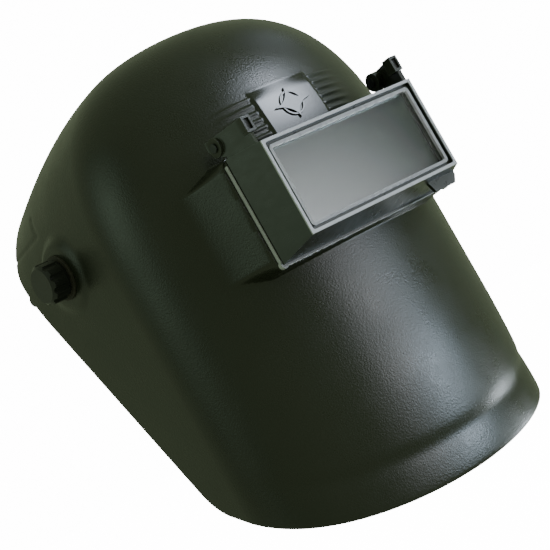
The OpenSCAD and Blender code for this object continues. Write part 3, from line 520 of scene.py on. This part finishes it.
def stretches(*parts):
    """Values that run through a list of (end, count) stretches from the first number on."""
    values = [parts[0]]
    for end, count in parts[1:]:
        values.extend(np.linspace(values[-1], end, count + 1)[1:])
    return np.array(values)


def shell_grid():
    """Points of the plain outer surface, in rows from crown to chin and columns from -x to +x."""
    # rows crowd together over the panel, its ribs and the edges of the window
    t = stretches(0.0, (BARREL_END, 28), (0.36, 32), (0.43, 22), (0.50, 88), (0.64, 56), (0.69, 44),
                  (1.0, 58))
    front_angles = np.radians(stretches(0.0, (13, 30), (32, 30), (48, 26), (90, 34)))
    front_shares = SIDE_SHARE + (1 - SIDE_SHARE) * np.cos(front_angles)
    s = np.concatenate([front_shares, stretches(SIDE_SHARE, (0.0, 30))[1:]])
    crown_end, chin_end = centre_line(np.array([0.0, 1.0]))
    rear = corner_arc(REAR_CORNER, crown_end, KNEE_CORNER, 26 * MM)
    knee = corner_arc(KNEE_CORNER, REAR_CORNER, chin_end, 40 * MM)
    half = len(rear) // 2
    crown = along(np.vstack([rear[half::-1], crown_end]), s)
    side = along(np.vstack([rear[half:], knee[:half + 1]]), t)
    chin = along(np.vstack([knee[half:], chin_end]), s)
    centre = centre_line(t)
    tt, ss = t[:, None, None], s[None, :, None]
    view = ((1 - tt) * crown[None] + tt * chin[None] + (1 - ss) * side[:, None] + ss * centre[:, None]
            - (1 - tt) * (1 - ss) * side[0] - (1 - tt) * ss * crown_end
            - tt * (1 - ss) * side[-1] - tt * ss * chin_end)
    x = half_width_at(view[..., 0], view[..., 1])
    x[:, 0] = 0
    right_half = np.concatenate([x[..., None], view], -1)
    left_half = right_half * [-1, 1, 1]
    return np.concatenate([left_half[:, :0:-1], right_half], 1)


def normals_of(grid):
    """Outward unit normals at the points of a grid."""
    n = np.cross(np.gradient(grid, axis=0), np.gradient(grid, axis=1))
    return n / np.linalg.norm(n, axis=-1, keepdims=True)


def from_rectangle(x, z, half_x, half_z, radius):
    """Signed distance outside a rounded rectangle."""
    dx, dz = np.abs(x) - half_x + radius, np.abs(z) - half_z + radius
    outside = np.hypot(np.maximum(dx, 0), np.maximum(dz, 0))
    return outside + np.minimum(np.maximum(dx, dz), 0) - radius


def from_segment(p, a, b):
    """Distance from points in a plane to a straight line between two points."""
    a, b = np.array(a), np.array(b)
    share = np.clip(((p - a) @ (b - a)) / ((b - a) @ (b - a)), 0, 1)
    return np.linalg.norm(p - a - share[..., None] * (b - a), axis=-1)


GLASS_Z = (glass_lo.z + glass_hi.z) / 2
# The flat seat that the housing's flange lies on
SEAT_TOP_Z = GLASS_Z + 31.7 * MM
SEAT_LOW_Z = GLASS_Z - 35.3 * MM
SEAT_Z = (SEAT_TOP_Z + SEAT_LOW_Z) / 2
SEAT_Y = shell_lo.y
SEAT_HALF_X = 69 * MM
SEAT_HALF_Z = (SEAT_TOP_Z - SEAT_LOW_Z) / 2
SEAT_CORNER = 7 * MM
# The opening through the seat
OPENING_HALF_X = 56.5 * MM
OPENING_HALF_Z = 28 * MM
OPENING_CORNER = 3 * MM
OPENING_Z = GLASS_Z - 1 * MM


def raise_seat(grid):
    """Stands a flat seat out round the window: softly at its sides, steeply above and below."""
    x, y, z = np.moveaxis(grid, -1, 0)
    away = from_rectangle(x, z - SEAT_Z, SEAT_HALF_X, SEAT_HALF_Z, SEAT_CORNER)
    beside = smoothstep(np.abs(x), SEAT_HALF_X - SEAT_CORNER, SEAT_HALF_X)
    beside = beside * (1 - smoothstep(np.abs(z - SEAT_Z), SEAT_HALF_Z - SEAT_CORNER, SEAT_HALF_Z))
    foot = 1.6 * MM + 13 * MM * beside
    share = np.clip(1 - away / foot, 0, 1) ** 2 * (y < FRONT_LIMIT_Y)
    out = grid.copy()
    out[..., 1] = y + (np.minimum(SEAT_Y, y) - y) * share
    return out


def raise_panel(grid):
    """Flattens a smooth panel across the forehead; its upper edge runs out into the dome."""
    x, y, z = np.moveaxis(grid, -1, 0)
    bulge = (SIDE_Y - FRONT_Y) * (1 - np.sqrt(np.maximum(0, 1 - (x / HALF_WIDTH) ** 2)))
    step = 0.7 * MM
    across = 1 - smoothstep(np.abs(x) - PANEL_HALF_X, -step, step)
    upward = (smoothstep(z, PANEL_LOW_Z - step, PANEL_LOW_Z + step)
              * (1 - smoothstep(z, PANEL_HIGH_Z - 8 * MM, PANEL_HIGH_Z + 3 * MM)))
    share = across * upward * (y < FRONT_LIMIT_Y)
    out = grid.copy()
    out[..., 1] = y - (bulge * 0.55 + PANEL_RISE) * share
    return out


def surface_relief(grid):
    """Height of the small moulded features above the surface."""
    x, y, z = np.moveaxis(grid, -1, 0)
    front = y < FRONT_LIMIT_Y
    height = np.zeros_like(x)
    # ribs beside the forehead panel, fading out into the shell
    rib_pitch, rib_half_width, rib_height = 4.6 * MM, 1.1 * MM, 0.9 * MM
    from_rib = (z - PANEL_LOW_Z) % rib_pitch - rib_pitch / 2
    ribs = np.exp(-(from_rib / rib_half_width) ** 2)
    fade = (smoothstep(np.abs(x), PANEL_HALF_X, PANEL_HALF_X + 1.2 * MM)
            * (1 - smoothstep(np.abs(x), PANEL_HALF_X + 8 * MM, PANEL_HALF_X + 30 * MM)))
    zone = (smoothstep(z, PANEL_LOW_Z - 1 * MM, PANEL_LOW_Z)
            * (1 - smoothstep(z, PANEL_HIGH_Z - 3 * MM, PANEL_HIGH_Z - 2 * MM)))
    height += rib_height * ribs * fade * zone * front
    # crease that runs round above the chin's edge, with a slight flare below it
    chin_end = centre_line(np.array([1.0]))[0]
    edge = (chin_end - KNEE_CORNER) / np.linalg.norm(chin_end - KNEE_CORNER)
    above = (y - chin_end[0]) * edge[1] - (z - chin_end[1]) * edge[0]
    forward = smoothstep(-y, 62 * MM, 100 * MM)
    crease_depth, crease_above, crease_half_width = 0.9 * MM, 22 * MM, 4.5 * MM
    flare, flare_above = 1.8 * MM, 20 * MM
    height -= crease_depth * np.exp(-((above - crease_above) / crease_half_width) ** 2) * forward
    height += flare * (1 - smoothstep(above, 0, flare_above)) * forward
    # bent groove above and behind each pivot, through three points of the side view
    groove_depth, groove_half_width = 0.6 * MM, 1.1 * MM
    upper, bend, rear = (23 * MM, 44 * MM), (16 * MM, 31 * MM), (60 * MM, 29 * MM)
    side = np.stack([y, z], -1)
    groove = np.minimum(from_segment(side, upper, bend), from_segment(side, bend, rear))
    height -= groove_depth * np.exp(-(groove / groove_half_width) ** 2) * (np.abs(x) > 60 * MM)
    return height


def raise_pivots(grid):
    """Blends a round flat boss out of each side wall at the pivot line."""
    x, y, z = np.moveaxis(grid, -1, 0)
    boss_radius, boss_foot = 18 * MM, 25 * MM
    away = np.hypot(y, z)
    share = 1 - smoothstep(away, boss_radius, boss_foot)
    out = grid.copy()
    out[..., 0] = x + (np.sign(x) * shell_hi.x - x) * share * (np.abs(x) > 90 * MM)
    return out


def beyond_opening(x, z):
    """Signed distance outside the window's opening."""
    return from_rectangle(x, z - OPENING_Z, OPENING_HALF_X, OPENING_HALF_Z, OPENING_CORNER)


def shell_piece():
    """The moulded shell: the outer surface with its features, given a wall and a rounded rim."""
    grid = raise_pivots(raise_panel(raise_seat(shell_grid())))
    grid = grid + normals_of(grid) * surface_relief(grid)[..., None]
    rows, columns = grid.shape[:2]
    points = grid.reshape(-1, 3)
    # points close to the opening's outline are drawn onto it
    x, z = points[:, 0].copy(), points[:, 2].copy()
    away = beyond_opening(x, z)
    near = (points[:, 1] < WINDOW_LIMIT_Y) & (np.abs(away) < 0.75 * MM)
    step = 0.01 * MM
    points[near, 0] -= (away * (beyond_opening(x + step, z) - away) / step)[near]
    points[near, 2] -= (away * (beyond_opening(x, z + step) - away) / step)[near]
    index = np.arange(rows * columns).reshape(rows, columns)
    quads = np.stack([index[:-1, :-1], index[1:, :-1], index[1:, 1:], index[:-1, 1:]], -1).reshape(-1, 4)
    middles = points[quads].mean(1)
    inside = (beyond_opening(middles[:, 0], middles[:, 2]) < 0) & (middles[:, 1] < WINDOW_LIMIT_Y)
    mesh = bpy.data.meshes.new("shell_outer")
    mesh.from_pydata(points.tolist(), [], quads[~inside].tolist())
    bm = bmesh.new()
    bm.from_mesh(mesh)
    loose = [v for v in bm.verts if not v.link_faces]
    bmesh.ops.delete(bm, geom=loose, context="VERTS")
    bmesh.ops.remove_doubles(bm, verts=bm.verts, dist=1e-7)
    thick = mesh_from(bm, "shell_thick")
    piece = new_piece("shell_moulding", thick, "shell_plastic", body_of_node["shell"], "shell")
    solid = piece.modifiers.new("wall", "SOLIDIFY")
    solid.thickness = WALL
    solid.offset = -1
    rounding = piece.modifiers.new("rim", "BEVEL")
    rounding.width = 0.6 * MM
    rounding.segments = 2
    rounding.limit_method = "ANGLE"
    rounding.angle_limit = math.radians(60)
    bake_modifiers(piece, math.radians(50))


def add_turned(bm, profile, place, axis, steps=48):
    """Adds a round shape: a closed line of (radius, height) points turned about an axis through a place."""
    turn_to = Vector((0, 0, 1)).rotation_difference(Vector(axis)).to_matrix()
    rings = []
    for radius, height in profile:
        ring = []
        for i in range(steps):
            angle = 2 * math.pi * i / steps
            point = Vector((radius * math.cos(angle), radius * math.sin(angle), height)) * MM
            ring.append(bm.verts.new(turn_to @ point + Vector(place)))
        rings.append(ring)
    for ring, following in zip(rings, rings[1:] + rings[:1]):
        for i in range(steps):
            j = (i + 1) % steps
            bm.faces.new((ring[i], ring[j], following[j], following[i]))


def shell_fittings():
    """The shell's inner pads, stop pins, screw bosses and thumb lugs."""
    # closed profiles of (radius, height) in millimetres
    pad = [(3.1, 105), (17.4, 105), (18, 105.6), (18, 109.2), (3.1, 109.2)]
    stop_pin = [(0, 102.95), (1.6, 102.95), (2, 103.35), (2, 106), (0, 106)]
    thumb_lug = [(0, 105), (3.8, 105), (3.8, 108.7), (3.1, 109.4), (0, 109.4)]
    screw_boss = [(1.35, 0), (3.4, 0), (3.4, 9.4), (2.8, 10), (1.35, 10)]
    stop_radius, stop_angle = 14.5 * MM, math.radians(-59)
    stop_place = (0, stop_radius * math.cos(stop_angle), stop_radius * math.sin(stop_angle))
    lug_place = (0, 51 * MM, 1.5 * MM)
    head_radius = 2.4 * MM
    boss_start_y = SEAT_Y + 1.5 * MM
    bm = bmesh.new()
    for side in (-1, 1):
        outward = (side, 0, 0)
        add_turned(bm, pad, (0, 0, 0), outward, 96)
        add_turned(bm, stop_pin, stop_place, outward)
        add_turned(bm, thumb_lug, lug_place, outward)
        for screw_z in (screws_lo.z + head_radius, screws_hi.z - head_radius):
            boss_place = (side * (screws_hi.x - head_radius), boss_start_y, screw_z)
            add_turned(bm, screw_boss, boss_place, (0, 1, 0))
    bmesh.ops.remove_doubles(bm, verts=bm.verts, dist=1e-7)
    bmesh.ops.recalc_face_normals(bm, faces=bm.faces)
    sharpen(bm, CREASE)
    new_piece("shell_fittings", mesh_from(bm, "shell_fittings"), "shell_plastic", body_of_node["shell"])


def panel_motif():
    """A plain spark over a ring, raised in the middle of the forehead panel."""
    middle_z = 18 * MM
    up = (middle_z - BROW_Z) / (CROWN_Z - BROW_Z)
    middle_y = SIDE_Y + (FRONT_Y - SIDE_Y) * (1 - up ** DOME_POWER) ** (1 / DOME_POWER) - PANEL_RISE
    lean = Vector((0, -1, 0.12)).normalized()
    place = Vector((0, middle_y, middle_z))
    ring = [(6.7, -0.8), (8.0, -0.8), (8.0, 0.55), (7.8, 0.8), (6.9, 0.8), (6.7, 0.55)]
    bm = bmesh.new()
    add_turned(bm, ring, place, lean, 96)
    across = Vector((1, 0, 0))
    turn_to = Matrix((across, lean.cross(across), lean)).transposed()
    spark_length, spark_power, spark_squash, steps = 13.5, 0.62, 1.35, 64
    levels = []
    for size, height in ((1.0, -0.8), (1.0, 0.8), (0.95, 1.05)):
        level = []
        for i in range(steps):
            angle = 2 * math.pi * i / steps
            c, s = math.cos(angle), math.sin(angle)
            reach = (abs(c) ** spark_power + abs(s * spark_squash) ** spark_power) ** (-1 / spark_power)
            radius = spark_length * size * reach
            point = Vector((radius * c, radius * s, height))
            level.append(bm.verts.new(turn_to @ (point * MM) + place))
        levels.append(level)
    for lower, upper in zip(levels, levels[1:]):
        for i in range(steps):
            j = (i + 1) % steps
            bm.faces.new((lower[i], lower[j], upper[j], upper[i]))
    bm.faces.new(levels[-1])
    bmesh.ops.recalc_face_normals(bm, faces=bm.faces)
    sharpen(bm, CREASE)
    new_piece("panel_motif", mesh_from(bm, "panel_motif"), "shell_plastic", body_of_node["shell"])


shell_piece()
shell_fittings()
panel_motif()

# How far each remaining node's hard edges are rounded, in millimetres
EDGE_WIDTHS = {
    "lens_housing": 0.5, "lift_front": 0.35, "window_bezel": 0.3, "housing_screws": 0.12, "hinge_pins": 0.4,
    "hinge_washers": 0.08, "friction_washers": 0.15, "inner_lens": 0.15, "inner_lens_clip": 0.0,
    "cover_lens": 0.12, "lens_gasket": 0.1, "filter_lens": 0.25, "filter_clip": 0.1, "ear_buffers": 0.3,
    "pivot_knob_left": 0.6, "pivot_knob_right": 0.6, "knob_nut_left": 0.3, "knob_nut_right": 0.3,
    "pivot_bolts": 0.35, "stop_plate_left": 0.4, "stop_plate_right": 0.4, "side_arm_left": 0.4,
    "side_arm_right": 0.4, "headband": 0.5, "band_pegs": 0.35, "crown_strap_left": 0.35,
    "crown_strap_right": 0.35, "crown_pegs": 0.3, "rear_strap": 0.35, "strap_pegs": 0.35,
    "band_tail_left": 0.2, "band_tail_right": 0.2, "ratchet_housing": 0.6, "ratchet_cover": 0.6,
    "ratchet_knob": 0.7, "ratchet_pinion": 0.12, "ratchet_screw": 0.15, "ratchet_spring": 0.08,
}
for node_name, edge_width in EDGE_WIDTHS.items():
    refined(node_name, edge_width * MM)


# ---------- soft pads ----------

CLOTH_FRAMES = 20
CLOTH_STIFFNESS = 12


def soft_pad(node, start_inset, cap, channel_pitch):
    """The node's solid swollen by cloth pressure, by no more than a cap, with sewn channels across it."""
    mesh = frame["nodes"][node].data.copy()
    piece = new_piece(node + "_soft", mesh, slot_of_node[node], body_of_node[node], node)
    grid = piece.modifiers.new("grid", "REMESH")
    grid.mode = "VOXEL"
    grid.voxel_size = 1.5 * MM
    bake_modifiers(piece, math.pi)
    for vertex in piece.data.vertices:
        vertex.co -= vertex.normal * start_inset
    start = [vertex.co.copy() for vertex in piece.data.vertices]
    cloth = piece.modifiers.new("cloth", "CLOTH")
    cloth.settings.use_pressure = True
    cloth.settings.uniform_pressure_force = 4
    cloth.settings.effector_weights.gravity = 0
    cloth.settings.tension_stiffness = CLOTH_STIFFNESS
    cloth.settings.compression_stiffness = CLOTH_STIFFNESS
    cloth.point_cache.frame_start = 1
    cloth.point_cache.frame_end = CLOTH_FRAMES
    scene = bpy.context.scene
    for number in range(1, CLOTH_FRAMES + 1):
        scene.frame_set(number)
    bake_modifiers(piece, math.pi)
    scene.frame_set(1)
    for vertex, before in zip(piece.data.vertices, start):
        move = vertex.co - before
        if move.length > cap:
            vertex.co = before + move.normalized() * cap
    pinch_channels(piece, channel_pitch)
    finer = piece.modifiers.new("finer", "SUBSURF")
    finer.levels = finer.render_levels = 1
    bake_modifiers(piece, math.pi)


def pinch_channels(piece, pitch):
    """Draws the surface in along evenly spaced sewn lines across the pad."""
    low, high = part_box(piece.name.removesuffix("_soft"))
    centre_x = (low.x + high.x) / 2
    depth, width = 0.7 * MM, 1.3 * MM
    for vertex in piece.data.vertices:
        along_x = (vertex.co.x - centre_x + pitch / 2) % pitch - pitch / 2
        vertex.co -= vertex.normal * depth * math.exp(-(along_x / width) ** 2)


soft_pad("sweatband", 0.5 * MM, 0.9 * MM, 17 * MM)
soft_pad("rear_pad", 0.5 * MM, 0.9 * MM, 15 * MM)


# ---------- floor, light and camera ----------

BACKDROP_STRENGTH = 15.0
middle = (cad_lo + cad_hi) / 2


def add_floor():
    """A bright floor well below the helmet, white to the camera."""
    half = 6.0
    level = cad_lo.z - 0.09
    mesh = bpy.data.meshes.new("floor")
    corners = [(-half, -half, level), (half, -half, level), (half, half, level), (-half, half, level)]
    mesh.from_pydata(corners, [], [(0, 1, 2, 3)])
    floor = bpy.data.objects.new("floor", mesh)
    bpy.context.scene.collection.objects.link(floor)
    f = Finish("pale_floor")
    f.colour(f.mix(f.noise(3, 3.0), (0.86, 0.86, 0.86), (0.90, 0.90, 0.90)))
    f.set(Roughness=0.9, Emission_Strength=BACKDROP_STRENGTH)
    f.shader.inputs["Emission Color"].default_value = (1, 1, 1, 1)
    mesh.materials.append(f.material)
    floor.visible_diffuse = False
    floor.visible_glossy = False


def add_world():
    """White to the camera; a dim olive room to everything else."""
    world = bpy.data.worlds.new("studio")
    bpy.context.scene.world = world
    world.use_nodes = True
    tree = world.node_tree
    tree.nodes.clear()
    seen = tree.nodes.new("ShaderNodeBackground")
    seen.inputs["Color"].default_value = (1, 1, 1, 1)
    seen.inputs["Strength"].default_value = BACKDROP_STRENGTH
    fill = tree.nodes.new("ShaderNodeBackground")
    fill.inputs["Color"].default_value = (0.80, 0.97, 0.60, 1)
    fill.inputs["Strength"].default_value = 0.40
    rays = tree.nodes.new("ShaderNodeLightPath")
    choose = tree.nodes.new("ShaderNodeMixShader")
    output = tree.nodes.new("ShaderNodeOutputWorld")
    tree.links.new(rays.outputs["Is Camera Ray"], choose.inputs[0])
    tree.links.new(fill.outputs[0], choose.inputs[1])
    tree.links.new(seen.outputs[0], choose.inputs[2])
    tree.links.new(choose.outputs[0], output.inputs[0])


def direction(azimuth, elevation):
    """Unit vector toward a direction; azimuth 0 is the helmet's front and 90 is +x."""
    a, e = math.radians(azimuth), math.radians(elevation)
    return Vector((math.sin(a) * math.cos(e), -math.cos(a) * math.cos(e), math.sin(e)))


def add_card(name, azimuth, elevation, distance, width, height, strength, tint=(0.93, 0.95, 1.0)):
    """A glowing card that faces the helmet and fades to nothing at its edges."""
    mesh = bpy.data.meshes.new(name)
    mesh.from_pydata([(-1, -1, 0), (1, -1, 0), (1, 1, 0), (-1, 1, 0)], [], [(0, 1, 2, 3)])
    card = bpy.data.objects.new(name, mesh)
    bpy.context.scene.collection.objects.link(card)
    toward = direction(azimuth, elevation)
    card.location = middle + toward * distance
    card.rotation_mode = "QUATERNION"
    card.rotation_quaternion = (-toward).to_track_quat("Z", "Y")
    card.scale = (width / 2, height / 2, 1)
    f = Finish(name)
    f.tree.nodes.remove(f.shader)
    parts = f.add("ShaderNodeSeparateXYZ")
    f.link(f.place, parts.inputs[0])
    across, up = (f.sum(parts.outputs[axis], parts.outputs[axis], "MULTIPLY") for axis in (0, 1))
    fade = f.sum(f.sum(1.0, across, "SUBTRACT"), f.sum(1.0, up, "SUBTRACT"), "MULTIPLY")
    glow = f.add("ShaderNodeEmission")
    glow.inputs["Color"].default_value = (*tint, 1)
    f.link(f.sum(fade, strength, "MULTIPLY"), glow.inputs["Strength"])
    f.link(glow.outputs[0], f.tree.nodes["Material Output"].inputs["Surface"])
    mesh.materials.append(f.material)
    card.visible_camera = False


def add_camera():
    """The camera, aimed at a point and rolled as in the photo."""
    aim = Vector((-58.4, -111.6, -63.5)) * MM
    azimuth, elevation, roll, distance = -36.84, -3.51, -29.35, 0.780
    back = direction(azimuth, elevation)
    data = bpy.data.cameras.new("camera")
    data.lens = 93.9
    data.sensor_width = 36
    data.clip_start = 0.01
    data.clip_end = 50
    camera = bpy.data.objects.new("camera", data)
    bpy.context.scene.collection.objects.link(camera)
    level_right = Vector((0, 0, 1)).cross(back).normalized()
    level_up = back.cross(level_right)
    turn = math.radians(roll)
    right = math.cos(turn) * level_right + math.sin(turn) * level_up
    up = math.cos(turn) * level_up - math.sin(turn) * level_right
    camera.matrix_world = Matrix((
        (right.x, up.x, back.x, aim.x + back.x * distance),
        (right.y, up.y, back.y, aim.y + back.y * distance),
        (right.z, up.z, back.z, aim.z + back.z * distance),
        (0, 0, 0, 1)))
    bpy.context.scene.camera = camera


add_floor()
add_world()
add_card("key", 39, -14, 1.4, 0.44, 0.60, 22, (0.70, 0.85, 1.0))
add_card("chin_light", 76, -26, 1.4, 0.30, 0.35, 32, (0.85, 0.94, 1.0))
add_card("top", 80, 40, 1.4, 0.5, 0.5, 1.5, (0.80, 0.92, 1.0))
add_card("panel_light", 37, 26, 1.4, 0.75, 0.6, 20, (0.80, 0.88, 1.0))
add_card("front", 25, -6, 1.6, 1.06, 1.02, 6.5)
add_card("left", -100, 20, 1.6, 1.3, 1.5, 1.5, (0.75, 1.0, 0.74))
add_camera()
